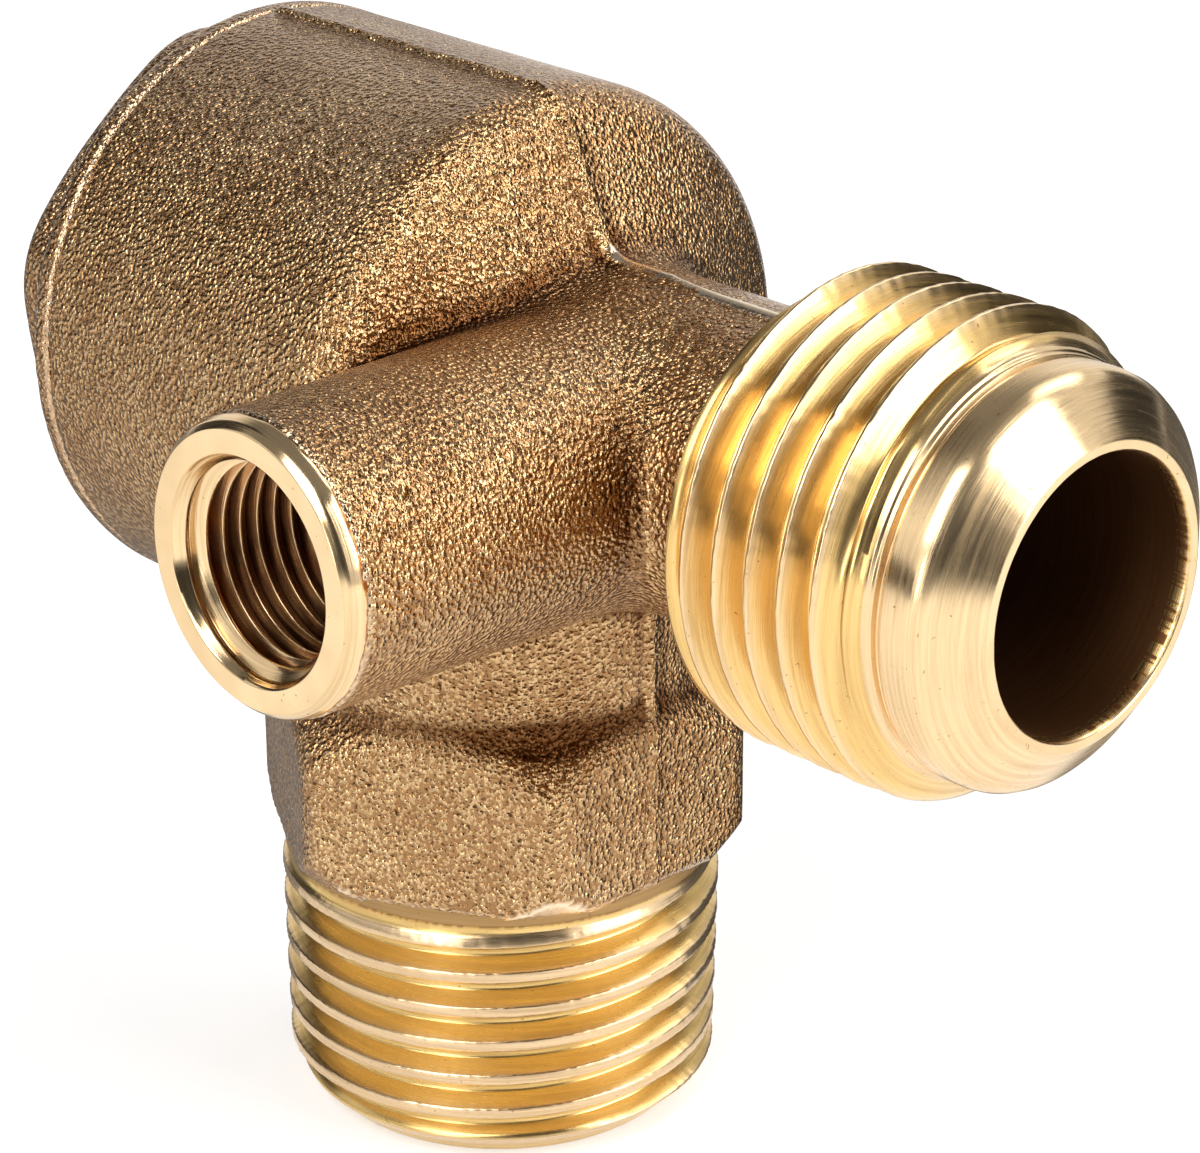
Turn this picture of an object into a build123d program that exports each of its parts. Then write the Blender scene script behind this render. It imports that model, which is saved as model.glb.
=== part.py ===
from build123d import *
import os
from math import cos, radians, tan

# Three-way non-return valve of an air compressor.
# Air comes in at the flared pipe port (+X), lifts a sprung poppet off its seat and leaves
# through the tank port (-Z). A small side port (-Y) opens into the inlet passage, upstream
# of the seat, and unloads the delivery pipe when the compressor stops.
#
# Millimetres. The origin is on the axis of the tank port, at the underside of the hexagon,
# where the valve seats on the tank's boss. The chamber and the inlet port lie along X.

# Chamber and shoulder
chamber_height = 22.3         # chamber axis above the hexagon's underside
chamber_radius = 14.25
chamber_end_x = -15.0         # machined end face that the cap seats on
shoulder_x = 4.1              # where the sloping shoulder leaves the chamber
shoulder_lean = 25.0          # degrees from square to the axis
shoulder_edge_fillet = 1.3
shoulder_foot_fillet = 1.0
neck_wall = 1.2               # metal around the inlet passage
cast_fillet = 0.4             # where the neck, stem, chamber and boss run into each other

# Chamber, inside
chamber_bore_radius = 10.4
seat_wall_x = 0.8             # end wall that carries the seat
seat_lip_height = 1.0
seat_lip_width = 0.9

# Inlet port: pipe thread, relief groove and flare cone
pipe_thread_radius = 10.4775  # G1/2, crest
inlet_thread_x = 20.5         # back face of the thread
inlet_thread_length = 9.6
inlet_thread_chamfer = 0.9
inlet_bore_radius = 6.0
groove_radius = 8.6
groove_width = 0.5
nose_radius = 8.95
nose_x = 31.6
flare_cone_length = 1.85      # along the axis, from the nose's edge to the rim
flare_rim_width = 0.55        # flat ring left around the bore
inlet_end_x = 35.15
thread_end_chamfer = 1.0

# Stem, hexagon and tank port
stem_radius = 10.15
stem_dome_z = 17.3            # centre of the ball that closes the top of the stem
hex_flats = 21.0
hex_corner_fillet = 1.6
hex_height = 8.65
hex_top_drop = 2.2            # height of the cone between the stem and the corners
tank_thread_length = 13.3
tank_end_chamfer = 1.65
tank_bore_radius = 7.0
passage_wall = 2.2            # metal left between the tank passage and the inlet passage

# Unloader port: internal thread in a round boss
boss_x = 10.0
boss_face_y = -22.8
boss_tip_radius = 6.25
boss_radius = 6.5
boss_draft = 0.7              # degrees
boss_band = 0.9               # length of the machined band at the tip
side_thread_radius = 4.283    # G1/8, as the wall of the plain bore
side_thread_depth = 11.0
side_mouth_radius = 4.864
side_drill_point = 1.2        # length of the cone at the bottom of the tapped bore
side_passage_radius = 2.0

# End cap
cap_flange_thickness = 1.1
cap_hex_flats = 24.0
cap_hex_turn = 17.6           # degrees that the hexagon stopped short when it was tightened
cap_corner_fillet = 3.2
cap_end_x = -20.0
cap_edge_chamfer = 0.8        # along the axis; twice as much across it
cap_spigot_radius = 11.75
cap_spigot_length = 6.5
cap_thread_run_out = 0.5      # tapped bore beyond the end of the spigot
cap_pocket_radius = 8.2
cap_pocket_floor = 0.6        # depth of the pocket floor behind the flange's seat
guide_boss_radius = 4.6
thread_clearance = 0.05

# Square-section seal ring between cap and chamber
ring_inner_radius = 10.95
ring_outer_radius = 12.45
ring_thickness = 1.5
ring_clearance = 0.05

# Poppet, its sealing disc and its spring
lift = 3.5
seat_gap = 0.05
stop_gap = 0.1
poppet_radius = 9.2
poppet_back = 1.6
poppet_rim = 1.3
hub_radius = 4.6
hub_length = 1.5
stem_rod_radius = 2.5
guide_clearance = 0.05
rod_engagement = 4.5
guide_end_gap = 0.5           # room left behind the rod at full lift
disc_overhang = 1.1           # rubber outside the seat lip
disc_thickness = 2.0
disc_clearance = 0.05
spring_radius = 6.3
spring_wire_radius = 0.45
spring_turns = 5
spring_seat_gap = 0.02

# Flat faces along which the casting is parted into simpler solids
boss_part_x = 3.2             # clear of the boss, at the chamber's end
boss_part_y = -10.6           # behind the bottom of the tapped bore

beyond = 1.0                  # how far a cutter runs past the face it opens

# Places that follow from the sizes above
neck_radius = inlet_bore_radius + neck_wall
flare_rim_radius = inlet_bore_radius + flare_rim_width
seat_lip_radius = inlet_bore_radius + seat_lip_width
disc_radius = seat_lip_radius + disc_overhang
shoulder_rise = chamber_radius - neck_radius
shoulder_foot_x = shoulder_x + shoulder_rise * tan(radians(shoulder_lean))
thread_end_x = inlet_thread_x + inlet_thread_length
flare_base_x = inlet_end_x - flare_cone_length
tank_passage_top_z = chamber_height - inlet_bore_radius - passage_wall
seat_lip_x = seat_wall_x - seat_lip_height
disc_front_x = seat_lip_x - seat_gap
disc_back_x = disc_front_x - disc_thickness
poppet_back_x = disc_back_x - poppet_back
hub_end_x = poppet_back_x - hub_length
guide_end_x = hub_end_x - lift - stop_gap
rod_end_x = guide_end_x - rod_engagement
pocket_floor_x = chamber_end_x - cap_pocket_floor
ring_groove_width = ring_thickness + 2 * ring_clearance

along_x = Pos(0, 0, chamber_height) * Rot(0, 90, 0)
along_boss = Pos(boss_x, 0, chamber_height) * Rot(90, 0, 0)


def lathe(profile, place=Location()):
    """Solid of revolution from (radius, height) points, with its axis laid along place's Z."""
    outline = Plane.XZ * Polyline(*profile, close=True)
    return place * revolve(make_face(outline), Axis.Z)


def rod(radius, start_x, end_x):
    """Round bar on the chamber's axis."""
    return Pos(start_x, 0, 0) * along_x * extrude(Circle(radius), end_x - start_x)


def corner_radius(flats, rounding):
    """Distance from the centre of a hexagon to its rounded corners."""
    return flats / 2 + (flats / 2 - rounding) * (1 / cos(radians(30)) - 1)


def hexagon(flats, rounding, bottom, top, place=Location()):
    """Hexagonal bar across the given flats, with rounded corners."""
    section = RegularPolygon(flats / 2, 6, major_radius=False)
    section = fillet(section.vertices(), rounding)
    return place * Pos(0, 0, bottom) * extrude(section, top - bottom)


def parted(solid, plane):
    """The two halves of a solid, first the one on the side that the plane's Z points to."""
    return split(solid, plane, keep=Keep.TOP), split(solid, plane, keep=Keep.BOTTOM)


def inlet_side():
    """Chamber, shoulder, neck, pipe thread and flare cone, all on the X axis."""
    chamber = lathe([
        (0, chamber_end_x),
        (chamber_radius, chamber_end_x),
        (chamber_radius, shoulder_x),
        (neck_radius, shoulder_foot_x),
        (neck_radius, thread_end_x),
        (0, thread_end_x),
    ], along_x)
    edge = chamber.edges().filter_by(GeomType.CIRCLE).sort_by(Axis.X)
    chamber = fillet(edge[1], shoulder_edge_fillet)
    edge = chamber.edges().filter_by(GeomType.CIRCLE).group_by(SortBy.RADIUS)[0].sort_by(Axis.X)
    chamber = fillet(edge[0], shoulder_foot_fillet)
    port = lathe([
        (0, inlet_thread_x),
        (pipe_thread_radius - inlet_thread_chamfer, inlet_thread_x),
        (pipe_thread_radius, inlet_thread_x + inlet_thread_chamfer / 2),
        (pipe_thread_radius, thread_end_x - thread_end_chamfer),
        (pipe_thread_radius - thread_end_chamfer, thread_end_x),
        (groove_radius, nose_x - groove_width),
        (groove_radius, nose_x),
        (nose_radius, nose_x),
        (nose_radius, flare_base_x),
        (flare_rim_radius, inlet_end_x),
        (0, inlet_end_x),
    ], along_x)
    return chamber + port


def tank_side():
    """Stem with a ball top, hexagon with turned corners, and tank thread, on the Z axis."""
    stem = extrude(Circle(stem_radius), stem_dome_z)
    stem += Pos(0, 0, stem_dome_z) * Sphere(stem_radius)
    corner = corner_radius(hex_flats, hex_corner_fillet)
    turned = lathe([
        (0, 0),
        (pipe_thread_radius, 0),
        (corner, corner - pipe_thread_radius),
        (corner, hex_height - hex_top_drop),
        (stem_radius, hex_height),
        (0, hex_height),
    ])
    nut = turned & hexagon(hex_flats, hex_corner_fillet, 0, hex_height, Rot(0, 0, 30))
    thread = lathe([
        (0, -tank_thread_length),
        (pipe_thread_radius - tank_end_chamfer, -tank_thread_length),
        (pipe_thread_radius, tank_end_chamfer - tank_thread_length),
        (pipe_thread_radius, 0),
        (0, 0),
    ])
    return stem + nut + thread


def unloader_boss():
    """Round cast boss with a machined band at its tip."""
    length = -boss_face_y
    root_radius = boss_radius + length * tan(radians(boss_draft))
    return lathe([
        (0, 0),
        (root_radius, 0),
        (boss_radius, length - boss_band),
        (boss_tip_radius, length),
        (0, length),
    ], along_boss)


def chamber_hollow():
    """Chamber bore with the seat lip standing in it, the cap's tapped bore and ring recess."""
    tapped_x = chamber_end_x + cap_spigot_length + cap_thread_run_out
    ring_recess_radius = ring_outer_radius + ring_clearance
    return lathe([
        (0, chamber_end_x - beyond),
        (ring_recess_radius, chamber_end_x - beyond),
        (ring_recess_radius, chamber_end_x + ring_groove_width),
        (cap_spigot_radius, chamber_end_x + ring_groove_width),
        (cap_spigot_radius, tapped_x),
        (chamber_bore_radius, tapped_x),
        (chamber_bore_radius, seat_wall_x),
        (seat_lip_radius, seat_wall_x),
        (seat_lip_radius, seat_lip_x),
        (0, seat_lip_x),
    ], along_x)


def unloader_hollow():
    """Tapped bore with a countersunk mouth and a drilling into the inlet passage."""
    length = -boss_face_y
    mouth = side_mouth_radius - side_thread_radius
    return lathe([
        (0, 0),
        (side_passage_radius, 0),
        (side_passage_radius, length - side_thread_depth - side_drill_point),
        (side_thread_radius, length - side_thread_depth),
        (side_thread_radius, length - mouth),
        (side_mouth_radius, length),
        (side_mouth_radius, length + beyond),
        (0, length + beyond),
    ], along_boss)


def casting_outside():
    """The casting before it is bored, with fillets where its round forms run together."""
    body = inlet_side() + tank_side() + unloader_boss()
    curved = body.edges().filter_by(GeomType.BSPLINE)
    junctions = curved.filter_by(lambda edge: edge.center().Z > hex_height)
    return fillet(junctions, cast_fillet)


def casting():
    """The whole casting with its three ports, bored through."""
    body = casting_outside() - chamber_hollow()
    body -= rod(inlet_bore_radius, seat_lip_x, inlet_end_x + beyond)
    body -= lathe([
        (0, -tank_thread_length - beyond),
        (tank_bore_radius, -tank_thread_length - beyond),
        (tank_bore_radius, tank_passage_top_z),
        (0, tank_passage_top_z),
    ])
    body -= unloader_hollow()
    return body


def casting_pieces():
    """The casting as four solids that meet on flat faces: its middle and the three ports."""
    above, tank_port = parted(casting(), Plane.XY)
    inlet_port, above = parted(above, Plane.YZ.offset(inlet_thread_x))
    beside, chamber = parted(above, Plane.YZ.offset(boss_part_x))
    unloader_port, middle = parted(beside, Plane.XZ.offset(-boss_part_y))
    return {
        "valve_body": chamber + middle,
        "inlet_port": inlet_port,
        "unloader_port": unloader_port,
        "tank_port": tank_port,
    }


def end_cap():
    """Screwed hexagon cap with a spring pocket and a guide bore for the poppet's rod."""
    flange_back_x = chamber_end_x - cap_flange_thickness
    spigot_radius = cap_spigot_radius - thread_clearance
    groove_bottom = ring_inner_radius - ring_clearance
    cap = lathe([
        (0, flange_back_x),
        (chamber_radius, flange_back_x),
        (chamber_radius, chamber_end_x),
        (groove_bottom, chamber_end_x),
        (groove_bottom, chamber_end_x + ring_groove_width),
        (spigot_radius, chamber_end_x + ring_groove_width),
        (spigot_radius, chamber_end_x + cap_spigot_length),
        (0, chamber_end_x + cap_spigot_length),
    ], along_x)
    corner = corner_radius(cap_hex_flats, cap_corner_fillet)
    turned = lathe([
        (0, cap_end_x),
        (corner - cap_edge_chamfer * 2, cap_end_x),
        (corner, cap_end_x + cap_edge_chamfer),
        (corner, flange_back_x),
        (0, flange_back_x),
    ], along_x)
    place = along_x * Rot(0, 0, cap_hex_turn)
    cap += turned & hexagon(cap_hex_flats, cap_corner_fillet, cap_end_x, flange_back_x, place)
    pocket = lathe([
        (guide_boss_radius, pocket_floor_x),
        (cap_pocket_radius, pocket_floor_x),
        (cap_pocket_radius, 0),
        (0, 0),
        (0, guide_end_x),
        (guide_boss_radius, guide_end_x),
    ], along_x)
    cap -= pocket
    cap -= rod(stem_rod_radius + guide_clearance, rod_end_x - lift - guide_end_gap, guide_end_x)
    return cap


def seal_ring():
    """Rubber ring in the groove behind the cap's flange."""
    start_x = chamber_end_x + ring_clearance
    end_x = start_x + ring_thickness
    return rod(ring_outer_radius, start_x, end_x) - rod(ring_inner_radius, start_x, end_x)


def valve_poppet():
    """Turned cup that holds the sealing disc, with a spring hub and a guide rod."""
    cup_radius = disc_radius + disc_clearance
    return lathe([
        (0, rod_end_x),
        (stem_rod_radius, rod_end_x),
        (stem_rod_radius, hub_end_x),
        (hub_radius, hub_end_x),
        (hub_radius, poppet_back_x),
        (poppet_radius, poppet_back_x),
        (poppet_radius, disc_back_x + poppet_rim),
        (cup_radius, disc_back_x + poppet_rim),
        (cup_radius, disc_back_x),
        (0, disc_back_x),
    ], along_x)


def seat_disc():
    """Rubber disc that closes on the seat lip."""
    return rod(disc_radius, disc_back_x, disc_front_x)


def return_spring():
    """Coil spring between the pocket floor of the cap and the back of the poppet."""
    first = pocket_floor_x + spring_wire_radius + spring_seat_gap
    last = poppet_back_x - spring_wire_radius - spring_seat_gap
    length = last - first
    path = Helix(length / spring_turns, length, spring_radius)
    section = Plane(path @ 0, z_dir=path % 0) * RegularPolygon(spring_wire_radius, 8)
    return Pos(first, 0, 0) * along_x * sweep(section, path)


nodes = casting_pieces() | {
    "end_cap": end_cap(),
    "seal_ring": seal_ring(),
    "valve_poppet": valve_poppet(),
    "seat_disc": seat_disc(),
    "return_spring": return_spring(),
}

os.makedirs("parts", exist_ok=True)
for name, solid in nodes.items():
    export_step(solid, f"parts/{name}.step")
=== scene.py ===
import math

import bmesh
import bpy
import numpy as np
from mathutils import Matrix, Vector


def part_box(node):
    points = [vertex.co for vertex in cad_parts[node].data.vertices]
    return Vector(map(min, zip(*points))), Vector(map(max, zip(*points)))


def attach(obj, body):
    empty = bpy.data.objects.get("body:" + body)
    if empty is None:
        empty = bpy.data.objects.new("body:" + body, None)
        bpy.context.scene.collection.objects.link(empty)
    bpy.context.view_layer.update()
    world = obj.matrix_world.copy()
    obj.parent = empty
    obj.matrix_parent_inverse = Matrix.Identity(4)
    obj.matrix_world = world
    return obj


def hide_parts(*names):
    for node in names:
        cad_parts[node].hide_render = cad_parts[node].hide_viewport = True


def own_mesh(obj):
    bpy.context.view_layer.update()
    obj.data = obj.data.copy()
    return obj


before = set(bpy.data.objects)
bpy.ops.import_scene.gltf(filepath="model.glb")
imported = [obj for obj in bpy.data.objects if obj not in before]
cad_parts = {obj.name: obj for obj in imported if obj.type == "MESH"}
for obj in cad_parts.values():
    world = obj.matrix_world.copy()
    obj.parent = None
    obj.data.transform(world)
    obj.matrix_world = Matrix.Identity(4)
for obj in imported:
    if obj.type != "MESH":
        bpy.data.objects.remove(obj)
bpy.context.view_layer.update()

# Sizes are in millimetres until a mesh is made. The chamber, the inlet port and the cap lie
# along X at chamber_z, the stem and the tank port along Z, and the boss along -Y at boss_x.
MM = 0.001
chamber_z = 22.3
chamber_radius = 14.25
chamber_end_x = -15.0
shoulder_x = 4.1
shoulder_lean = math.radians(25.0)
shoulder_rounding = 1.7
neck_radius = 7.2
neck_end_x = 21.3
neck_fillet = 1.4
stem_radius = 10.15
stem_dome_z = 17.3
stem_fillet = 1.4
boss_x = 10.0
boss_face_y = -22.8
boss_radius = 6.5
boss_draft = math.radians(0.7)
boss_band = 0.9
boss_fillet = 1.5
pipe_radius = 10.4775
inlet_bore = 6.0
tank_bore = 7.0
chamber_bore = 10.4
drill_radius = 2.0
spring_wire = 0.45
floor_z = -13.35

# The hexagon above the tank thread. A cone rounds off its corners at each end.
hex_flats = 21.0
hex_rounding = 0.9
hex_fillet = 0.5
hex_top_z = 8.65
upper_cone_radius, upper_cone_z = 11.87, 6.46
upper_cone_slope = (0.786, 0.618)
upper_cone_rounding = 0.5
lower_cone_radius, lower_cone_rise = 11.05, 0.68
lower_cone_slope = 0.827

# The seam at the casting's parting line, on y = 0. It was trimmed on the nut, less above it.
seam_half_width = 0.27
seam_edge = 0.03
seam_on_nut, seam_above = 0.08, 0.24

# Room between the casting and the turned pieces that line its passages
lining = 0.35

# Brightness of the world overhead, and of the floor where the camera sees it
sky_shade = 0.22
floor_glow = 0.42


# Fields and their surface

def union(a, b, k):
    """The lower of two fields, with a fillet about k / 1.2 in radius where they meet."""
    h = np.maximum(k - np.abs(a - b), 0) / k
    return np.minimum(a, b) - h * h * k / 4


def cut(a, b, k):
    """The higher of two fields, with its edge rounded."""
    return -union(-a, -b, k)


def lattice(low, high, step):
    """Coordinates of a box of points, as three arrays that broadcast."""
    x, y, z = (np.arange(a, b + step, step) for a, b in zip(low, high))
    return x[:, None, None], y[None, :, None], z[None, None, :]


# Shade of a cast form's points where a tool has cut them, far below any hollowness
WORKED = -3.0

CORNERS = [(i, j, k) for i in (0, 1) for j in (0, 1) for k in (0, 1)]
EDGES = [(a, b) for a in range(8) for b in range(a + 1, 8)
         if sum(p != q for p, q in zip(CORNERS[a], CORNERS[b])) == 1]


def surface(field, low, high, step):
    """Points and four-sided faces on field = 0, inside the box from low to high."""
    x, y, z = lattice(low, high, step)
    f = np.broadcast_to(field(x, y, z), (x.size, y.size, z.size)).astype(np.float32)
    inside = f < 0
    n = [s - 1 for s in f.shape]
    count = sum(inside[i:i + n[0], j:j + n[1], k:k + n[2]].astype(np.int8)
                for i, j, k in CORNERS)
    cells = np.argwhere((count > 0) & (count < 8))
    number = np.full(n, -1, np.int32)
    number[tuple(cells.T)] = np.arange(len(cells))
    value = np.stack([f[tuple((cells + c).T)] for c in CORNERS], 1)
    total = np.zeros((len(cells), 3))
    hits = np.zeros(len(cells))
    for a, b in EDGES:
        va, vb = value[:, a], value[:, b]
        crossed = (va < 0) != (vb < 0)
        t = np.where(crossed, va / np.where(crossed, va - vb, 1), 0)
        p = np.array(CORNERS[a]) + t[:, None] * (np.array(CORNERS[b]) - np.array(CORNERS[a]))
        total += p * crossed[:, None]
        hits += crossed
    points = (cells + total / hits[:, None]) * step + np.array(low)
    faces = []
    for axis in range(3):
        u, v = [a for a in range(3) if a != axis]
        here = [slice(1, -1)] * 3
        there = [slice(1, -1)] * 3
        here[axis], there[axis] = slice(0, -1), slice(1, None)
        a, b = inside[tuple(here)], inside[tuple(there)]
        at = np.argwhere(a != b) + [0 if k == axis else 1 for k in range(3)]
        step_u, step_v = np.eye(3, dtype=int)[u], np.eye(3, dtype=int)[v]
        ring = [at - step_u - step_v, at - step_v, at, at - step_u]
        quad = np.stack([number[tuple(r.T)] for r in ring], 1)
        outward = inside[tuple(at.T)] == (axis != 1)
        quad[~outward] = quad[~outward][:, ::-1]
        faces.append(quad)
    return points, np.concatenate(faces)


def settle(field, points, step, rounds=3):
    """Points moved along the field's slope onto field = 0."""
    e = 0.02
    for _ in range(rounds):
        f = field(*points.T)
        slope = np.stack([field(*(points + d).T) - field(*(points - d).T)
                          for d in np.eye(3) * e], 1) / (2 * e)
        size = np.maximum((slope ** 2).sum(1), 0.05)
        move = -(f / size)[:, None] * slope
        length = np.linalg.norm(move, axis=1)
        points = points + move * np.minimum(1, 0.4 * step / np.maximum(length, 1e-9))[:, None]
    return points


def rumple(x, y, z, size, seed):
    """Smooth unevenness from -1 to 1, about size across."""
    rng = np.random.default_rng(seed)
    total = 0
    for _ in range(5):
        d = rng.normal(size=3)
        d /= np.linalg.norm(d) * size / 2.4
        total = total + np.sin(x * d[0] + y * d[1] + z * d[2] + rng.uniform(0, 6.28))
    return total / 5


# Meshes

def make_object(name, points, faces, shade, place=None):
    """Mesh object from points in millimetres and faces, shaded smooth. shade is a number at
    each point, which the materials read: depth in a thread, or hollowness of a cast form."""
    mesh = bpy.data.meshes.new(name)
    mesh.from_pydata((np.asarray(points) * MM).tolist(), [], [list(map(int, f)) for f in faces])
    mesh.attributes.new("shade", "FLOAT", "POINT").data.foreach_set("value", shade)
    if place is not None:
        mesh.transform(place)
    mesh.validate()
    mesh.shade_smooth()
    obj = bpy.data.objects.new(name, mesh)
    bpy.context.scene.collection.objects.link(obj)
    return obj


def closed(obj, apart=2e-7):
    """The object with points less than apart (in metres) from each other joined, and its faces
    turned outwards."""
    mend = bmesh.new()
    mend.from_mesh(obj.data)
    bmesh.ops.remove_doubles(mend, verts=mend.verts, dist=apart)
    bmesh.ops.dissolve_degenerate(mend, edges=mend.edges, dist=apart)
    bmesh.ops.recalc_face_normals(mend, faces=mend.faces)
    mend.to_mesh(obj.data)
    mend.free()
    return obj


def hollowness(field, points, reach=0.7):
    """How hollow the form is round each point: below 0 on edges, above 0 in corners."""
    around = sum(field(*(points + d).T) + field(*(points - d).T) for d in np.eye(3) * reach)
    return (6 * field(*points.T) - around) / reach


def field_object(name, field, low, high, step, worked=None, painted_shade=None):
    """Mesh object of field = 0. worked(x, y, z) says where a tool has cut the skin smooth, and
    the last argument, a function of x, y, z, adds to its shade: painted shade that darkens the
    colour."""
    points, faces = surface(field, low, high, step)
    points = settle(field, points, step)
    shade = hollowness(field, points)
    if painted_shade is not None:
        shade = shade + painted_shade(*points.T)
    if worked is not None:
        shade = np.where(worked(*points.T), WORKED, shade)
    return make_object(name, points, faces, shade)


def frame_along(axis):
    """Rotation that carries Z, the axis of turning, onto a row axis."""
    turn = {"z": Matrix.Identity(4),
            "x": Matrix.Rotation(math.pi / 2, 4, "Y"),
            "-y": Matrix.Rotation(math.pi / 2, 4, "X")}
    return turn[axis]


def softened(profile, rounding=0.08):
    """Profile with each inner corner replaced by a small arc and a support point beside it.
    A third number at a corner is its own rounding."""
    out = [np.array(profile[0][:2], float)]
    for i in range(1, len(profile) - 1):
        p = profile[i]
        here = np.array(p[:2], float)
        before = np.array(profile[i - 1][:2], float) - here
        after = np.array(profile[i + 1][:2], float) - here
        lb, la = np.linalg.norm(before), np.linalg.norm(after)
        r = min(p[2] if len(p) > 2 else rounding, 0.4 * lb, 0.4 * la)
        b, a = here + before / lb * r, here + after / la * r
        if lb > 6 * r:
            out.append(here + before / lb * 2 * r)
        for t in (0, 0.33, 0.67, 1):
            out.append((1 - t) ** 2 * b + 2 * t * (1 - t) * here + t * t * a)
        if la > 6 * r:
            out.append(here + after / la * 2 * r)
    out.append(np.array(profile[-1][:2], float))
    return out


class Turning:
    """Rows of points round an axis: plain rings of a profile, and threads whose rows climb."""

    def __init__(self, around=384):
        self.around = around
        self.angles = np.arange(around) * 2 * math.pi / around
        self.points, self.shades, self.faces = [], [], []
        self.count = 0

    def add(self, height, radius, shade, faces):
        x, y = radius * np.cos(self.angles), radius * np.sin(self.angles)
        p = np.stack([x, y, height], -1).reshape(-1, 3)
        self.points.append(p)
        self.shades.append(np.broadcast_to(shade, height.shape).reshape(-1))
        self.faces.append(faces + self.count)
        self.count += len(p)

    def rings(self, profile, shade=0.0, wear=None):
        """Plain rings through (height, radius) points. wear(height, angle) changes the radius."""
        profile = np.array([p[:2] for p in profile], float)
        height = np.repeat(profile[:, :1], self.around, 1)
        radius = np.repeat(profile[:, 1:], self.around, 1)
        if wear is not None:
            radius = radius + wear(height, np.broadcast_to(self.angles, height.shape))
        a = np.arange(len(profile) - 1)[:, None] * self.around
        b = a + self.around
        c = np.arange(self.around)[None, :]
        d = (c + 1) % self.around
        quads = np.stack([a + c, a + d, b + d, b + c], -1).reshape(-1, 4)
        self.add(height, radius, shade, quads)

    def thread(self, start, end, pitch, phase, form, radius_at, shade_at):
        """A right-hand thread from start to end. form is (phase, depth) points of one turn. The
        surface's radius is radius_at(height, angle, depth), and shade_at(height, depth) its
        shade, with depth from 0 to 1."""
        s = np.array([p[0] for p in form])
        depth = np.array([p[1] for p in form])
        per = len(form)
        first = math.floor((start - phase) / pitch) - 2
        last = math.ceil((end - phase) / pitch) + 2
        t = (np.arange(first, last)[:, None] + s[None, :]).reshape(-1, 1)
        turn = self.angles[None, :] / (2 * math.pi)
        height = phase + pitch * (t + turn)
        clipped = np.clip(height, start, end)
        at = np.mod((clipped - phase) / pitch - turn, 1.0)
        d = np.interp(at, np.append(s, s[0] + 1), np.append(depth, depth[0]))
        radius = radius_at(clipped, np.broadcast_to(self.angles, height.shape), d)
        rows = len(t)
        i = np.arange(rows - 1)[:, None] + np.zeros((1, self.around), int)
        j = np.zeros((rows - 1, 1), int) + np.arange(self.around)[None, :]
        i2 = i + np.where(j == self.around - 1, per, 0)
        j2 = (j + 1) % self.around
        ok = i2 < rows - 1
        i, j, i2, j2 = i[ok], j[ok], i2[ok], j2[ok]
        quads = np.stack([i * self.around + j, i2 * self.around + j2,
                          (i2 + 1) * self.around + j2, (i + 1) * self.around + j], -1)
        self.add(clipped, radius, shade_at(clipped, d / depth.max()), quads)

    def build(self, name, place):
        points, faces = np.concatenate(self.points), np.concatenate(self.faces)
        return closed(make_object(name, points, faces, np.concatenate(self.shades), place))


def chamber_place():
    return Matrix.Translation((0, 0, chamber_z * MM)) @ frame_along("x")


# The casting's skin

def hexagon_field(u, v, flats, rounding, turn):
    """Field of a hexagonal bar round the origin of u, v; turn is the angle of a flat."""
    d = None
    for k in range(3):
        a = turn + k * math.pi / 3
        side = np.abs(u * math.cos(a) + v * math.sin(a)) - flats / 2
        d = side if d is None else cut(d, side, rounding)
    return d


def corner_cone(q, z):
    """Field of the cone that the tool leaves on the hexagon's lower corners."""
    return (q - lower_cone_radius - lower_cone_rise * z) * lower_cone_slope


def casting_worked(x, y, z):
    """The turned seat and corners under the hexagon, and the trimmed seam on the neck."""
    q = np.sqrt(x * x + y * y)
    seat_z, cone_top_z, seam_start_x = 0.02, 1.7, 7.4
    corners = (z < cone_top_z) & (np.abs(corner_cone(q, z)) < 0.04)
    seam = (np.abs(y) < seam_half_width + seam_edge) & (z > chamber_z) & (x > seam_start_x)
    return corners | seam | (z < seat_z)


def casting_recess_shade(x, y, z):
    """Painted shade in the recess above the hexagon, deepest under the boss and the inlet port."""
    most, middle_z, reach, away_from_x = 0.5, 8.4, 1.25, 0.5
    facing = np.maximum(np.cos(np.arctan2(y, x) + away_from_x), 0) ** 2
    return most * facing * np.exp(-((z - middle_z) / reach) ** 2)


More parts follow.
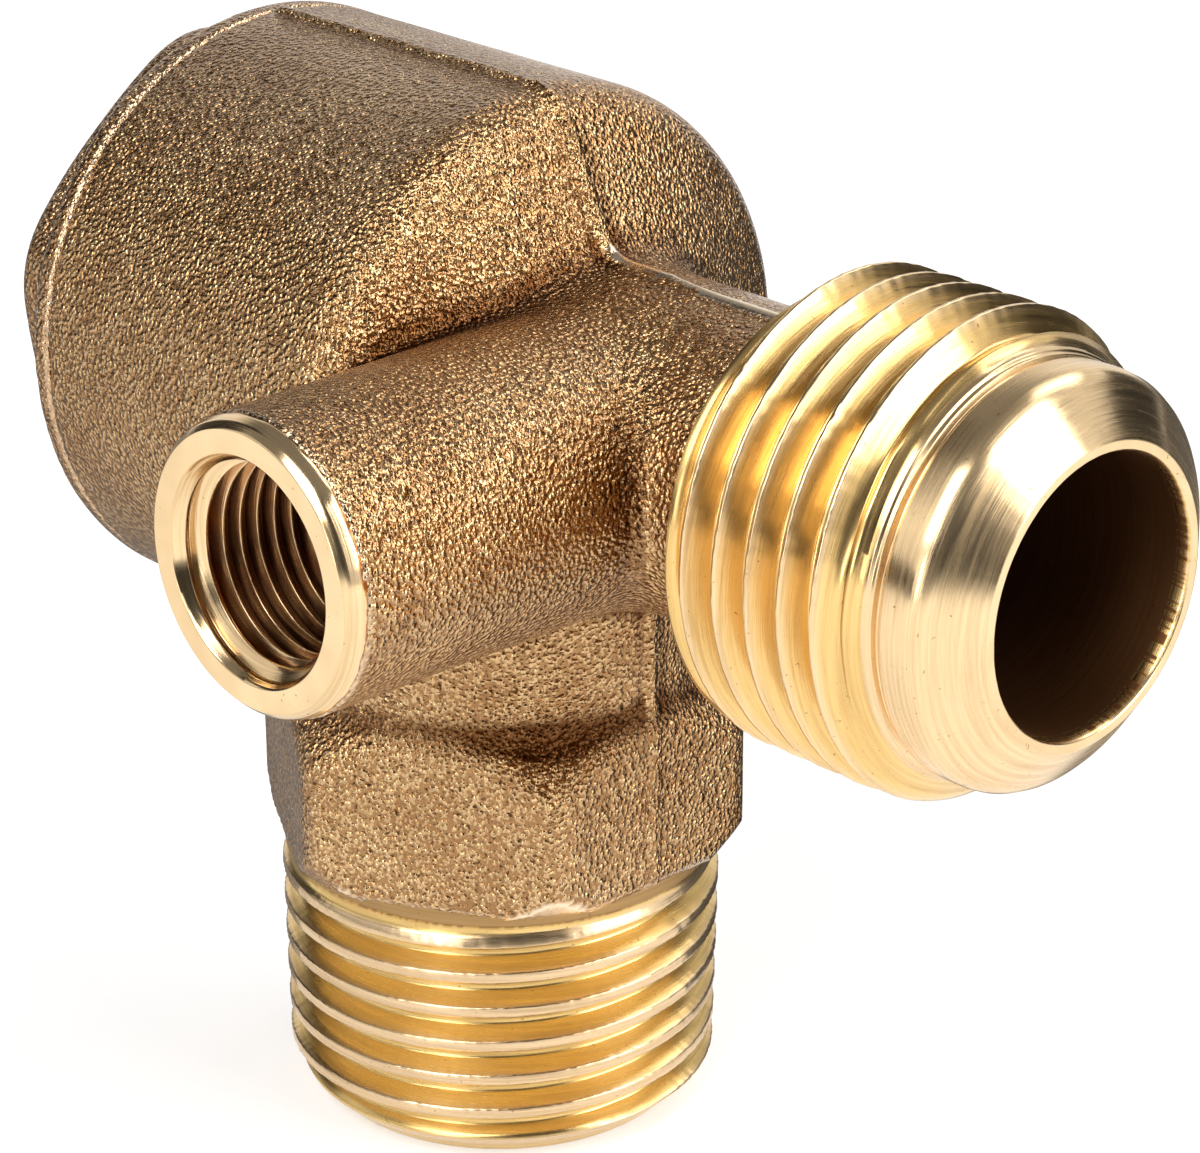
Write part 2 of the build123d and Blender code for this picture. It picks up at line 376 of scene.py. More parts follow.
def casting_outside(x, y, z, r, q, b):
    """Outside of the casting. r, q and b are distances from the axes of the chamber, the tank
    port and the boss."""
    sloping = (x - shoulder_x) * math.cos(shoulder_lean) \
        + (r - chamber_radius) * math.sin(shoulder_lean)
    chamber = cut(r - chamber_radius, sloping, shoulder_rounding)
    body = union(chamber, r - neck_radius, neck_fillet)
    stem = np.sqrt(q * q + np.maximum(z - stem_dome_z, 0) ** 2) - stem_radius
    body = union(body, stem, stem_fillet)
    tip = y - boss_face_y
    boss = (b - boss_radius - (tip - boss_band) * math.tan(boss_draft)) * math.cos(boss_draft)
    body = union(body, np.maximum(boss, y), boss_fillet)
    bar = hexagon_field(x, y, hex_flats, hex_rounding, 0.0)
    cone = (q - upper_cone_radius) * upper_cone_slope[0] + (z - upper_cone_z) * upper_cone_slope[1]
    nut = np.maximum(cut(bar, cone, upper_cone_rounding), corner_cone(q, z))
    body = union(body, nut, hex_fillet)
    body = body + 0.03 + 0.03 * rumple(x, y, z, 5.0, 3) + 0.012 * rumple(x, y, z, 2.0, 4)
    seam = np.where(z < hex_top_z, seam_on_nut, seam_above)
    body = body - seam / (1 + np.exp((np.abs(y) - seam_half_width) / seam_edge))
    body = np.maximum(body, chamber_end_x - x)
    body = np.maximum(body, x - neck_end_x)
    body = np.maximum(body, -z)
    return np.maximum(body, boss_face_y + boss_band - 0.02 - y)


def casting_hollow(x, y, z, r, q, b):
    """The chamber with the seat's lip, the bore for the cap, and the three passages."""
    lip_width, lip_x, chamber_floor_x = 0.9, -0.2, 0.8
    cap_bore, cap_bore_x = 11.75, -8.0
    inlet_step_x, tank_step_z, tank_end_z = 13.2, 9.8, 14.1
    side_lining_radius, side_lining_y = 5.3, -11.6
    lip = np.maximum(r - inlet_bore - lip_width, lip_x - x)
    hollow = np.maximum(r - chamber_bore, x - chamber_floor_x)
    hollow = np.maximum(hollow, -lip)
    hollow = np.minimum(hollow, np.maximum(r - cap_bore, x - cap_bore_x))
    bore = np.where(x < inlet_step_x, inlet_bore, inlet_bore + lining)
    hollow = np.minimum(hollow, np.maximum(r - bore, -x - 0.3))
    way = np.where(z > tank_step_z, tank_bore, tank_bore + lining)
    hollow = np.minimum(hollow, np.maximum(q - way, z - tank_end_z))
    drill = np.maximum(b - drill_radius, y)
    tapped = np.maximum(b - side_lining_radius, y - side_lining_y)
    return np.minimum(hollow, np.minimum(drill, tapped))


def casting_field(x, y, z):
    """Outside of the casting, and its hollows."""
    w = z - chamber_z
    r = np.sqrt(y * y + w * w)
    q = np.sqrt(x * x + y * y)
    b = np.sqrt((x - boss_x) ** 2 + w * w)
    return np.maximum(casting_outside(x, y, z, r, q, b), -casting_hollow(x, y, z, r, q, b))


# Thread forms

# Shades of a turned piece, from its bright outside, at 0, to its bores; the darker colour of the
# bores and of GROOVE, the band under the hexagon, is painted shade
BAND, ROOT, GROOVE, BORE = 0.2, 0.5, 0.9, 1.0


def form_points(crest, flank, depth, root_round=0.12):
    """One turn as (phase, depth): crest flat centred on phase 0, flanks, and a rounded root.
    crest and flank are shares of the pitch."""
    c, k = crest / 2, crest / 2 + flank
    return [(0.0, 0.0), (c * 0.8, 0.0), (c, 0.02 * depth), (c + 0.02, 0.10 * depth),
            (c + flank * 0.5, 0.5 * depth), (k - 0.03, 0.92 * depth), (k, 0.98 * depth),
            (k + root_round, depth), (0.5, depth), (1 - k - root_round, depth),
            (1 - k, 0.98 * depth), (1 - k + 0.03, 0.92 * depth),
            (1 - c - flank * 0.5, 0.5 * depth), (1 - c - 0.02, 0.10 * depth),
            (1 - c, 0.02 * depth), (1 - c * 0.8, 0.0)]


def ragged(height, angle, seed, finest=90):
    """Small unevenness round a turned edge, from -1 to 1."""
    rng = np.random.default_rng(seed)
    total = 0
    for k in range(10):
        n = int(rng.integers(7, finest))
        total = total + np.sin(n * angle + height * rng.uniform(1, 9) + rng.uniform(0, 6.28))
    return total / 10


def thread_shade(height, depth):
    return ROOT * depth


def tank_thread():
    t = Turning()
    top, end = -1.05, -13.3
    pitch, taper, taper_start = 1.814, 0.018, -1.4
    crest_wear, root_wear, runout = 0.06, 0.03, 0.7
    band, band_top = 10.16, -0.72
    collar, collar_top = 10.36, 0.25
    end_radius = pipe_radius - 1.65
    outer_bore, step_z = tank_bore + 0.6, 10.0

    def radius(height, angle, depth):
        crest = pipe_radius + taper * np.minimum(height - taper_start, 0)
        worn = (depth < 0.2) * np.maximum(ragged(height, angle, 11, 130), -0.2)
        edge = crest - depth - crest_wear * worn
        start = np.clip((top - height) / runout, 0, 1)
        edge = edge + root_wear * (depth > 0.5) * ragged(0, angle, 12, 24)
        edge = band + (edge - band) * start
        chamfer = end_radius + (height - end)
        return np.minimum(edge, chamfer)

    # crest k is at -1.43 - k pitch at 40 degrees, and rises by a pitch each turn
    phase = -1.43 + pitch * 40 / 360
    form = form_points(0.27, 0.27, 0.95, 0.05)
    t.thread(end, top, pitch, phase, form, radius, thread_shade)
    t.rings([(top, band), (band_top, band)], BAND)
    # The band under the hexagon is painted darker, towards the bore's colour, as shade
    t.rings(softened([(band_top, band), (-0.62, 10.34, 0.05), (-0.05, collar, 0.1),
                      (collar_top, collar)]), GROOVE)
    t.rings(softened([(collar_top, collar), (collar_top, outer_bore, 0.02),
                      (step_z, outer_bore, 0.02), (step_z, tank_bore, 0.02),
                      (-12.9, tank_bore, 0.05), (end, tank_bore + 0.35, 0.05),
                      (end, end_radius)]), BORE)
    return t.build("tank_thread", Matrix.Identity(4))


def inlet_thread():
    t = Turning()
    start, end = 20.5, 30.75
    pitch = 1.785
    crest_wear = 0.035
    torn_from, torn_over, torn_end = 29.2, 0.8, 0.06
    last_root, last_rise, last_from = 9.1, 0.5, 29.5
    back_radius, back_slope = pipe_radius - 1.15, 2.0
    nose_radius, nose_slope, nose_rounding = 9.15, 1.25, 0.3
    cone_x, cone_radius, rim_x, rim_radius = 33.3, 8.95, 35.15, 6.5
    mouth_x, inner_x, outer_bore = 34.95, 13.0, inlet_bore + 0.8

    def radius(height, angle, depth):
        worn = (depth < 0.2) * np.maximum(ragged(height, angle, 21), -0.3)
        edge = pipe_radius - depth - crest_wear * worn
        fade = np.clip((height - torn_from) / torn_over, 0, 1) \
            * np.clip((end - height) / torn_end, 0, 1)
        torn = fade * (0.05 + 0.04 * ragged(height, angle, 22, 30))
        rise = np.clip((height - last_from) / torn_over, 0, 1)
        edge = np.maximum(edge, last_root + last_rise * rise)
        back = back_radius + (height - start) * back_slope
        nose = nose_radius + (end - height) * nose_slope - 0.5 * torn
        return union(np.minimum(edge - torn, back), nose, nose_rounding)

    def nicks(height, angle):
        return -0.02 * np.maximum(ragged(height * 0, angle, 23, 60), 0) * (height > 35.0)

    # crest k is at 21.44 + k pitch where the angle from +Y towards +Z is 180 degrees
    phase = 21.44 - pitch * 90 / 360
    form = form_points(0.10, 0.36, 1.1, 0.05)
    t.thread(start, end, pitch, phase, form, radius, thread_shade)
    t.rings(softened([(end, nose_radius), (31.0, 9.12, 0.05), (31.08, 9.0, 0.04),
                      (31.25, 8.98, 0.04), (31.35, 8.7, 0.06), (31.55, 8.7, 0.05),
                      (31.65, cone_radius, 0.06), (cone_x, cone_radius, 0.6),
                      (rim_x, rim_radius, 0.06), (rim_x, 6.12, 0.05),
                      (mouth_x, inlet_bore)]), 0.0, nicks)
    t.rings([(x, inlet_bore) for x in np.linspace(mouth_x, inner_x, 40)]
            + [(inner_x, outer_bore), (start + 0.05, outer_bore)], BORE)
    t.rings([(start + 0.05, outer_bore), (start, outer_bore), (start, back_radius)])
    return t.build("inlet_thread", chamber_place())


def side_thread():
    t = Turning(256)
    pitch, depth_of_form = 0.907, 0.62
    face = -boss_face_y
    top, end = face - 0.02, face - 11.0
    root_radius, mouth_radius, mouth_slope = 4.864, 4.94, 0.62
    foot_radius, foot_slope = 4.2, 1.5
    back, back_radius, inner_radius = face - boss_band - 0.3, 6.38, 5.6
    drill_x, foot = end - 1.2, end - 1.5
    painted_shade_from, painted_shade_over = face - 1.4, 1.2

    def radius(height, angle, depth):
        edge = root_radius - depth - 0.012 * (depth > 0.5) * ragged(height, angle, 31)
        edge = np.minimum(edge, foot_radius + (height - end) * foot_slope)
        return np.maximum(edge, mouth_radius - (top - height) * mouth_slope)

    def worn(height, angle):
        return 0.05 * ragged(height, angle, 32, 26) * (np.abs(height - back) < 0.4)

    # Painted shade: deeper into the hole the roots darken towards the bore's colour, near the mouth
    # they stay bright
    def shade(height, depth):
        return (1 - depth) * np.clip((painted_shade_from - height) / painted_shade_over, 0, 1)

    outside = form_points(0.10, 0.38, depth_of_form, 0.02)
    form = [(p, depth_of_form - d) for p, d in outside]
    t.thread(end, top, pitch, face, form, radius, shade)
    t.rings(softened([(top, mouth_radius), (face, 4.99), (face, 5.98, 0.05),
                      (face - 0.28, 6.25, 0.08), (back + 0.45, 6.42, 0.08),
                      (back, back_radius)]), 0.0, worn)
    t.rings([(back, back_radius), (back, inner_radius), (foot, inner_radius),
             (foot, drill_radius), (drill_x, drill_radius), (end, foot_radius)], BORE, worn)
    place = Matrix.Translation((boss_x * MM, 0, chamber_z * MM)) @ frame_along("-y")
    return t.build("side_thread", place)


# End cap

cap_flats = 24.0
cap_rounding = 2.2
cap_turn = math.radians(90 - 17.6)
cap_end_x = -20.0
cap_cone_radius, cap_cone_x = 13.0, -18.9
cap_cone_slope = (0.45, 0.89)
flange_x, flange_half_width = -15.55, 0.53
spigot_radius = 11.68
spigot_x = (-15.2, -8.5)
pocket_radius = 8.2
pocket_x = (-15.6, -8.0)
hub_radius, hub_end_x = 4.6, -10.05
guide_radius = 2.55
guide_x = (-18.6, -9.0)


def cap_field(x, y, z):
    """Field of the hexagon, flange and spigot, with the spring's pocket round a bored hub."""
    w = z - chamber_z
    r = np.sqrt(y * y + w * w)
    bar = hexagon_field(y, w, cap_flats, cap_rounding, cap_turn)
    bar = np.maximum(bar, x + 15.9)
    cone = (r - cap_cone_radius) * cap_cone_slope[0] + (cap_cone_x - x) * cap_cone_slope[1]
    bar = cut(cut(bar, cap_end_x - x, 0.7), cone, 0.5)
    flange = cut(r - chamber_radius, np.abs(x - flange_x) - flange_half_width, 0.25)
    cap = union(bar, flange, 0.35)
    cap = cap + 0.03 * rumple(x, y, z, 4.0, 8) + 0.015 * rumple(x, y, z, 1.8, 9)
    spigot = np.maximum(r - spigot_radius, x - spigot_x[1])
    cap = np.minimum(cap, np.maximum(spigot, spigot_x[0] - x))
    pocket = np.maximum(np.maximum(r - pocket_radius, pocket_x[0] - x), x - pocket_x[1])
    pocket = np.maximum(pocket, -np.maximum(r - hub_radius, x - hub_end_x))
    guide = np.maximum(np.maximum(r - guide_radius, x - guide_x[1]), guide_x[0] - x)
    return np.maximum(cap, -np.minimum(pocket, guide))


# Return spring

def coil_spring():
    """Round wire that coils between the cap's pocket and the poppet."""
    low, high = (np.array(corner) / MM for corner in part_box("return_spring"))
    first, last = low[0] + spring_wire, high[0] - spring_wire
    radius = (high[2] - low[2]) / 2 - spring_wire
    turns, around, sides = 5, 72, 16
    t = np.linspace(0, 1, turns * around + 1)[:, None]
    a = 2 * math.pi * turns * t
    out = np.concatenate([0 * a, np.sin(a), -np.cos(a)], 1)
    along = np.concatenate([0 * a + (last - first) / turns / (2 * math.pi * radius),
                            np.cos(a), np.sin(a)], 1)
    across = np.cross(out, along / np.linalg.norm(along, axis=1)[:, None])
    centre = np.concatenate([first + (last - first) * t, 0 * a, 0 * a + chamber_z], 1)
    centre = centre + radius * out
    s = np.arange(sides)[None, :, None] * 2 * math.pi / sides
    wire = centre[:, None] + spring_wire * (np.cos(s) * out[:, None] + np.sin(s) * across[:, None])
    i = np.arange(len(t) - 1)[:, None] * sides
    j = np.arange(sides)[None, :]
    k = (j + 1) % sides
    quads = np.stack([i + j, i + k, i + sides + k, i + sides + j], -1).reshape(-1, 4).tolist()
    ends = [list(range(sides)), list(range((len(t) - 1) * sides, len(t) * sides))]
    points = wire.reshape(-1, 3)
    return closed(make_object("coil_spring", points, quads + ends, np.zeros(len(points))))


# The casting's colour is darkened in its corners and in the recess above the hexagon, as painted
# shade
casting = field_object("casting_skin", casting_field, (-15.4, -22.36, -0.4), (21.7, 14.9, 37.2),
                       0.312, casting_worked, casting_recess_shade)
cap = field_object("hexagon_cap", cap_field, (-20.4, -15.0, 7.0), (-8.0, 15.0, 37.6), 0.26)
tank = tank_thread()
inlet = inlet_thread()
side = side_thread()
spring = coil_spring()


# Materials

def material(name, colour, roughness, metallic=1.0):
    """A material, its node tree and its shader."""
    m = bpy.data.materials.new(name)
    m.use_nodes = True
    shader = m.node_tree.nodes["Principled BSDF"]
    shader.inputs["Base Color"].default_value = (*colour, 1)
    shader.inputs["Roughness"].default_value = roughness
    shader.inputs["Metallic"].default_value = metallic
    return m, m.node_tree, shader


def node(tree, kind, **inputs):
    """A new node. Each keyword sets its socket or its property of that name."""
    n = tree.nodes.new(kind)
    for key, value in inputs.items():
        if key in n.inputs:
            n.inputs[key].default_value = value
        else:
            setattr(n, key, value)
    return n


def ramp(tree, source, stops):
    """Output of a colour ramp with (position, colour or grey) stops."""
    n = tree.nodes.new("ShaderNodeValToRGB")
    while len(n.color_ramp.elements) < len(stops):
        n.color_ramp.elements.new(0.5)
    for element, (at, colour) in zip(n.color_ramp.elements, stops):
        element.position = at
        element.color = (*colour, 1) if isinstance(colour, tuple) else (colour,) * 3 + (1,)
    tree.links.new(source, n.inputs["Fac"])
    return n.outputs["Color"]


def mixed(tree, blend, factor, first, second):
    """Output of a colour mix. The factor and the second colour may be values or outputs."""
    n = node(tree, "ShaderNodeMix", data_type="RGBA", blend_type=blend)
    for socket, value in (("Factor", factor), ("A", first), ("B", second)):
        target = [i for i in n.inputs if i.name == socket and i.enabled][0]
        if isinstance(value, bpy.types.NodeSocket):
            tree.links.new(value, target)
        else:
            target.default_value = (*value, 1) if isinstance(value, tuple) else value
    return n.outputs["Result"]


def cast_material(name, light, dark, pale):
    """Shot-blasted brass: fine dimples that glint, painted shade in its corners, pale where worked.
    """
    m, tree, shader = material(name, light, 0.3)
    link = tree.links.new
    where = node(tree, "ShaderNodeTexCoord").outputs["Object"]
    shade = node(tree, "ShaderNodeAttribute", attribute_name="shade").outputs["Fac"]
    worked = node(tree, "ShaderNodeMath", operation="MULTIPLY_ADD", use_clamp=True)
    link(shade, worked.inputs[0])
    worked.inputs[1].default_value = -0.5
    worked.inputs[2].default_value = -0.5
    grain = node(tree, "ShaderNodeTexNoise", Scale=5200.0, Detail=1.0, Roughness=0.45)
    dimple = node(tree, "ShaderNodeTexVoronoi", Scale=4300.0, Randomness=1.0)
    pit = node(tree, "ShaderNodeTexNoise", Scale=5200.0, Detail=1.0, Roughness=0.5)
    blotch = node(tree, "ShaderNodeTexNoise", Scale=260.0, Detail=4.0)
    for n in (grain, dimple, pit, blotch):
        link(where, n.inputs["Vector"])
    height = node(tree, "ShaderNodeMath", operation="MULTIPLY_ADD")
    link(dimple.outputs["Distance"], height.inputs[0])
    height.inputs[1].default_value = -0.9
    link(grain.outputs["Fac"], height.inputs[2])
    strength = node(tree, "ShaderNodeMath", operation="SUBTRACT")
    strength.inputs[0].default_value = 1.0
    link(worked.outputs[0], strength.inputs[1])
    bump = node(tree, "ShaderNodeBump", Distance=0.000105)
    link(strength.outputs[0], bump.inputs["Strength"])
    link(height.outputs[0], bump.inputs["Height"])
    link(bump.outputs["Normal"], shader.inputs["Normal"])
    colour = ramp(tree, pit.outputs["Fac"], [(0.27, dark), (0.36, light)])
    # The last ramp darkens the colour where the form is hollow, and in the casting's recess above
    # the hexagon: painted shade
    for source, stops in (
            (height.outputs[0], [(0.0, (0.6, 0.5, 0.42)), (0.2, (1.0, 1.0, 1.0))]),
            (blotch.outputs["Fac"], [(0.35, (0.82, 0.76, 0.72)), (0.65, (1.0, 1.0, 1.0))]),
            (shade, [(0.05, (1.0, 1.0, 1.0)), (0.5, (0.30, 0.21, 0.15))])):
        colour = mixed(tree, "MULTIPLY", 1.0, colour, ramp(tree, source, stops))
    colour = mixed(tree, "MIX", worked.outputs[0], colour, pale)
    link(colour, shader.inputs["Base Color"])
    link(ramp(tree, grain.outputs["Fac"], [(0.35, 0.26), (0.65, 0.14)]), shader.inputs["Roughness"])
    return m


def turned_material(name, axis, crest, root, bore_shade, smooth, rough):
    """Turned brass with fine lines round its axis, from bright crests to bores painted dark as
    shade.
    """
    m, tree, shader = material(name, crest, smooth)
    link = tree.links.new
    where = node(tree, "ShaderNodeTexCoord").outputs["Object"]
    lathe = node(tree, "ShaderNodeMapping")
    lathe.inputs["Scale"].default_value = [6500 if a == axis else 130 for a in "XYZ"]
    link(where, lathe.inputs["Vector"])
    lines = node(tree, "ShaderNodeTexNoise", Scale=1.0, Detail=3.0, Roughness=0.7)
    link(lathe.outputs["Vector"], lines.inputs["Vector"])
    depth = node(tree, "ShaderNodeAttribute", attribute_name="shade").outputs["Fac"]
    bump = node(tree, "ShaderNodeBump", Distance=0.000014)
    link(ramp(tree, depth, [(ROOT + 0.1, 0.8), (BORE - 0.1, 0.1)]), bump.inputs["Strength"])
    link(lines.outputs["Fac"], bump.inputs["Height"])
    link(bump.outputs["Normal"], shader.inputs["Normal"])
    speck = node(tree, "ShaderNodeTexNoise", Scale=3600.0, Detail=2.0, Roughness=0.7)
    link(where, speck.inputs["Vector"])
    # Towards the bores the colour darkens: painted shade
    colour = ramp(tree, depth, [(0.0, crest), (0.3 * ROOT, root), (ROOT, root), (BORE, bore_shade)])
    for source, stops in (
            (speck.outputs["Fac"], [(0.25, (0.5, 0.4, 0.3)), (0.31, (1.0, 1.0, 1.0))]),
            (lines.outputs["Fac"], [(0.3, (0.80, 0.76, 0.70)), (0.6, (1.0, 1.0, 1.0))])):
        colour = mixed(tree, "MULTIPLY", 1.0, colour, ramp(tree, source, stops))
    link(colour, shader.inputs["Base Color"])
    dull = node(tree, "ShaderNodeMath", operation="MAXIMUM")
    link(ramp(tree, lines.outputs["Fac"], [(0.3, rough), (0.7, smooth)]), dull.inputs[0])
    link(ramp(tree, depth, [(ROOT + 0.1, 0.0), (BORE - 0.1, 0.5)]), dull.inputs[1])
    link(dull.outputs[0], shader.inputs["Roughness"])
    link(ramp(tree, depth, [(ROOT + 0.1, 0.7), (BORE - 0.1, 0.0)]), shader.inputs["Anisotropic"])
    shader.inputs["Anisotropic Rotation"].default_value = 0.25
    tangent = node(tree, "ShaderNodeTangent", direction_type="RADIAL", axis=axis)
    link(tangent.outputs["Tangent"], shader.inputs["Tangent"])
    return m


def plain_material(name, dark, light, scale, smooth, rough, metallic):
    """Even finish, uneven in colour, roughness and height at the grain's scale."""
    m, tree, shader = material(name, light, smooth, metallic)
    grain = node(tree, "ShaderNodeTexNoise", Scale=scale, Detail=4.0)
    tree.links.new(node(tree, "ShaderNodeTexCoord").outputs["Object"], grain.inputs["Vector"])
    tree.links.new(ramp(tree, grain.outputs["Fac"], [(0.3, dark), (0.7, light)]),
                   shader.inputs["Base Color"])
    tree.links.new(ramp(tree, grain.outputs["Fac"], [(0.3, rough), (0.7, smooth)]),
                   shader.inputs["Roughness"])
    bump = node(tree, "ShaderNodeBump", Strength=0.5, Distance=0.00002)
    tree.links.new(grain.outputs["Fac"], bump.inputs["Height"])
    tree.links.new(bump.outputs["Normal"], shader.inputs["Normal"])
    return m


trimmed = (0.90, 0.71, 0.50)
bright = (0.86, 0.63, 0.36)
cast_brass = cast_material("cast_brass_skin", light=(0.64, 0.43, 0.22), dark=(0.15, 0.08, 0.03),
                           pale=trimmed)
cap_brass = cast_material("cap_brass_skin", light=(0.58, 0.38, 0.20), dark=(0.14, 0.075, 0.03),
                          pale=trimmed)
turned_x = turned_material("turned_brass_x", "X", crest=bright, root=(0.82, 0.55, 0.22),
                           bore_shade=(0.20, 0.09, 0.035), smooth=0.16, rough=0.32)
# The side port's roots are darker than the other turned pieces', as painted shade inside the hole
turned_y = turned_material("turned_brass_y", "Y", crest=bright, root=(0.55, 0.27, 0.11),
                           bore_shade=(0.30, 0.11, 0.035), smooth=0.12, rough=0.22)
turned_z = turned_material("turned_brass_z", "Z", crest=(0.79, 0.58, 0.35),
                           root=(0.80, 0.56, 0.22), bore_shade=(0.34, 0.20, 0.09),
                           smooth=0.20, rough=0.36)
rubber = plain_material("seat_rubber", dark=(0.030, 0.029, 0.027), light=(0.05, 0.048, 0.045),
                        scale=900.0, smooth=0.55, rough=0.8, metallic=0.0)
steel = plain_material("spring_steel", dark=(0.52, 0.52, 0.53), light=(0.70, 0.69, 0.67),
                       scale=2600.0, smooth=0.22, rough=0.42, metallic=1.0)

for obj, mat, body, slot in (
        (casting, cast_brass, "housing", "cast_brass"),
        (cap, cap_brass, "housing", "cap_brass"),
        (tank, turned_z, "housing", "cast_brass"),
        (inlet, turned_x, "housing", "cast_brass"),
        (side, turned_y, "housing", "cast_brass"),
        (spring, steel, "housing", "spring_steel")):
    obj.data.materials.append(mat)
    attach(obj, body)
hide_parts("valve_body")
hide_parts("inlet_port")
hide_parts("unloader_port")
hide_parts("tank_port")
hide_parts("end_cap")
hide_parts("return_spring")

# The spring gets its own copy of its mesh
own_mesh(spring)

for name, mat in (("valve_poppet", turned_x), ("seat_disc", rubber), ("seal_ring", rubber)):
    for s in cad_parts[name].material_slots:
        s.material = mat


# Camera, floor and light

# Middle of the object, and how far from it the lamps and the cards stand, in metres
set_centre = Vector((0.005, 0, 0.018))
lamp_distance = 0.6
card_distance = 0.9


def make_camera():
    """Camera fitted to the photograph. Its azimuth is counted from +X towards +Y."""
    azimuth, elevation, roll = (math.radians(a) for a in (-43.875, 23.174, 0.148))
    distance, aside, below = 175.656, 4.721, 9.169
    back = Vector((math.cos(azimuth) * math.cos(elevation),
                   math.sin(azimuth) * math.cos(elevation), math.sin(elevation)))
    level_right = (-back).cross(Vector((0, 0, 1))).normalized()
    level_up = level_right.cross(-back)
    right = math.cos(roll) * level_right + math.sin(roll) * level_up
    up = -math.sin(roll) * level_right + math.cos(roll) * level_up
    place = back * distance + level_right * aside - level_up * below + Vector((0, 0, chamber_z))
    data = bpy.data.cameras.new("camera")
    data.sensor_width = 36.0
    data.lens = 115.41
    cam = bpy.data.objects.new("camera", data)
    bpy.context.scene.collection.objects.link(cam)
    turn = Matrix((right, up, back)).transposed().to_4x4()
    cam.matrix_world = Matrix.Translation(place * MM) @ turn
    bpy.context.scene.camera = cam


def make_world():
    """White all round at the horizon, darker overhead."""
    world = bpy.data.worlds.new("studio")
    bpy.context.scene.world = world
    world.use_nodes = True
    tree = world.node_tree
    sky = tree.nodes["Background"]
    where = tree.nodes.new("ShaderNodeTexCoord")
    split = tree.nodes.new("ShaderNodeSeparateXYZ")
    tree.links.new(where.outputs["Generated"], split.inputs[0])
    shade = ramp(tree, split.outputs["Z"], [(0.46, 1.0), (0.68, sky_shade)])
    tree.links.new(shade, sky.inputs["Color"])


def make_floor():
    """White floor that shows white to the camera and in reflections, with the soft shadow."""
    size, z = 3.0, floor_z * MM
    mesh = bpy.data.meshes.new("floor")
    mesh.from_pydata([(-size, -size, z), (size, -size, z), (size, size, z), (-size, size, z)],
                     [], [(0, 1, 2, 3)])
    floor = bpy.data.objects.new("floor", mesh)
    bpy.context.scene.collection.objects.link(floor)
    m, tree, shader = material("floor", (0.6, 0.6, 0.6), 0.9, 0.0)
    path = tree.nodes.new("ShaderNodeLightPath")
    seen = path.outputs["Is Camera Ray"]
    for other in ("Is Glossy Ray", "Is Transmission Ray"):
        either = node(tree, "ShaderNodeMath", operation="MAXIMUM")
        tree.links.new(seen, either.inputs[0])
        tree.links.new(path.outputs[other], either.inputs[1])
        seen = either.outputs[0]
    glow = node(tree, "ShaderNodeMath", operation="MULTIPLY")
    tree.links.new(seen, glow.inputs[0])
    glow.inputs[1].default_value = floor_glow
    shader.inputs["Emission Color"].default_value = (1, 1, 1, 1)
    tree.links.new(glow.outputs[0], shader.inputs["Emission Strength"])
    mesh.materials.append(m)


def softbox(name, azimuth, elevation, width, height, power):
    """Area lamp that faces the object. Azimuth 0 is in front, at -Y, and 90 is at +X."""
    a, e = math.radians(azimuth), math.radians(elevation)
    back = Vector((math.sin(a) * math.cos(e), -math.cos(a) * math.cos(e), math.sin(e)))
    data = bpy.data.lights.new(name, "AREA")
    data.shape = "RECTANGLE"
    data.size, data.size_y = width, height
    data.energy = power
    lamp = bpy.data.objects.new(name, data)
    bpy.context.scene.collection.objects.link(lamp)
    lamp.location = set_centre + back * lamp_distance
    lamp.rotation_mode = "QUATERNION"
    lamp.rotation_quaternion = back.to_track_quat("Z", "Y")
    lamp.visible_camera = False


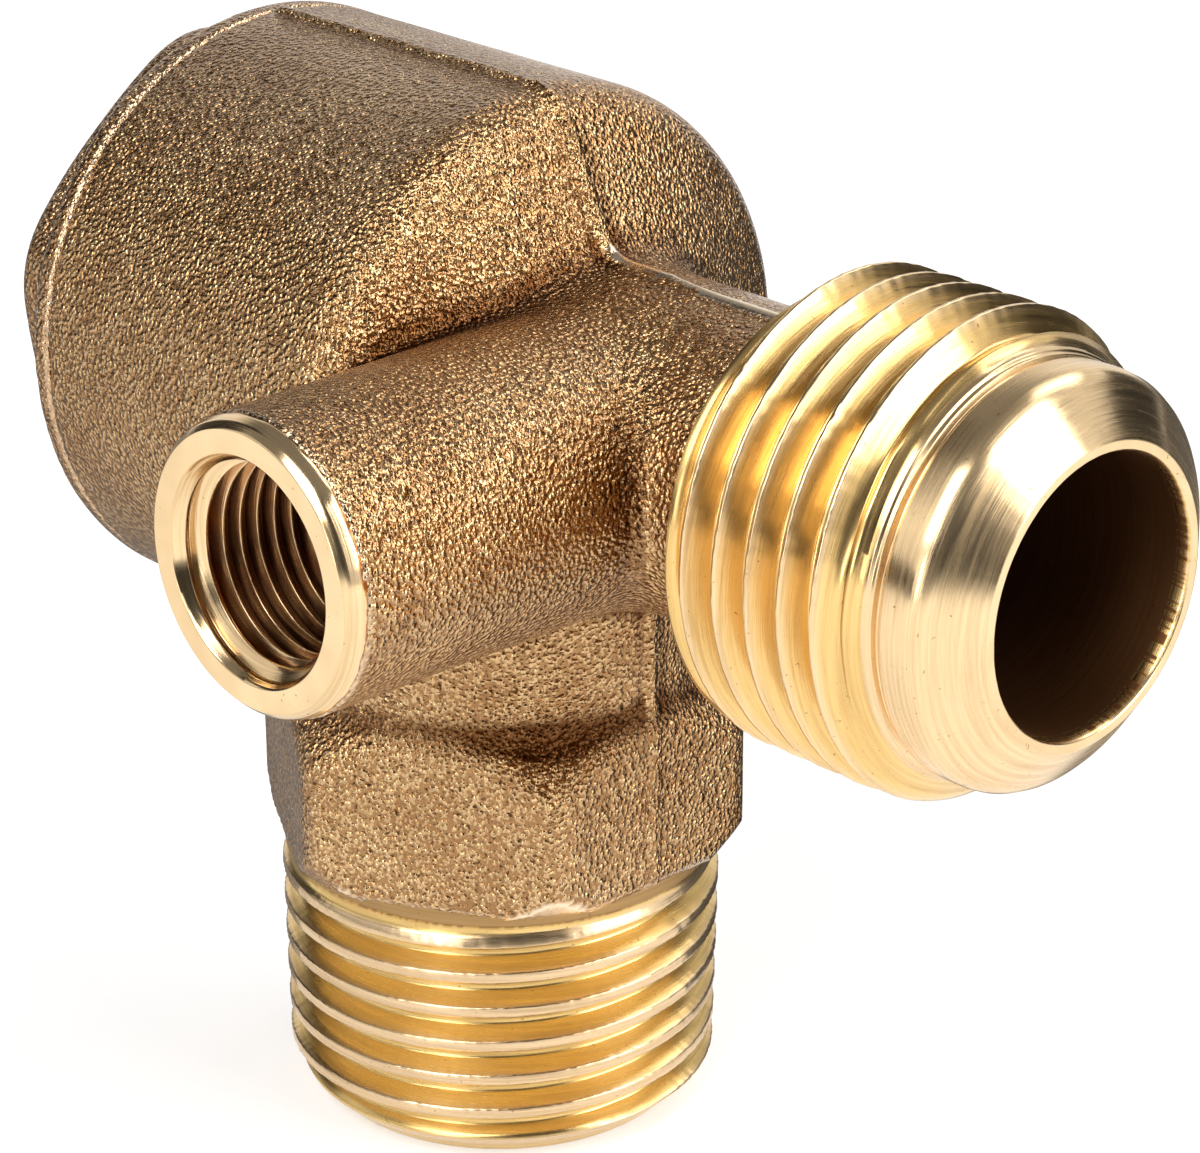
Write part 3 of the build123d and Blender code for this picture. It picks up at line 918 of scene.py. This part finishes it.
def card(name, azimuths, low, high, shades):
    """Card round the object, seen only in reflections, curved from azimuths[0] to azimuths[1].
    low and high are the (radius, height) of its edges, and shades runs from low to high."""
    points, faces = [], []
    steps = 12
    for i in range(steps + 1):
        a = math.radians(azimuths[0] + (azimuths[1] - azimuths[0]) * i / steps)
        for radius, height in (low, high):
            points.append((set_centre.x + radius * math.sin(a), -radius * math.cos(a), height))
        if i:
            faces.append((2 * i - 2, 2 * i - 1, 2 * i + 1, 2 * i))
    mesh = bpy.data.meshes.new(name)
    mesh.from_pydata(points, [], faces)
    across = mesh.attributes.new("across", "FLOAT", "POINT")
    across.data.foreach_set("value", [0, 1] * (steps + 1))
    obj = bpy.data.objects.new(name, mesh)
    bpy.context.scene.collection.objects.link(obj)
    m, tree, shader = material(name, (0, 0, 0), 0.9, 0.0)
    share = node(tree, "ShaderNodeAttribute", attribute_name="across").outputs["Fac"]
    tree.links.new(ramp(tree, share, shades), shader.inputs["Base Color"])
    mesh.materials.append(m)
    obj.visible_camera = False
    obj.visible_diffuse = False
    obj.visible_shadow = False
    obj.visible_transmission = False


def flag(name, azimuths, elevations):
    """Dark upright card between two elevations, paler along its edges."""
    dark = 0.02
    low, high = ((card_distance * math.cos(e), set_centre.z + card_distance * math.sin(e))
                 for e in map(math.radians, elevations))
    card(name, azimuths, low, high, [(0.0, 0.5), (0.12, dark), (0.85, dark), (1.0, 0.2)])


def ground_card(name, azimuths, shade):
    """Dark card that lies just above the floor, from close to the object outwards."""
    near, height = 0.015, floor_z * MM + 0.0002
    card(name, azimuths, (near, height), (card_distance, height), [(0.0, shade), (1.0, shade)])


make_camera()
make_world()
make_floor()
softbox("front_box", 10, 45, 0.36, 0.40, 2.4)
softbox("right_box", 109, 31, 0.36, 0.52, 2.9)
softbox("front_strip", 15, 9, 0.10, 0.20, 0.35)
softbox("rear_box", 172, 52, 0.28, 0.28, 0.9)
flag("room_flag", (27, 82), (-1.5, 60))
flag("front_flag", (298, 365), (-1.5, 11))
flag("left_flag", (262, 298), (-1.5, 60))
flag("rear_flag", (140, 192), (-1.5, 24))
ground_card("rear_ground", (150, 205), 0.05)
ground_card("left_ground", (228, 292), 0.25)

bpy.context.scene.view_settings.view_transform = "Standard"
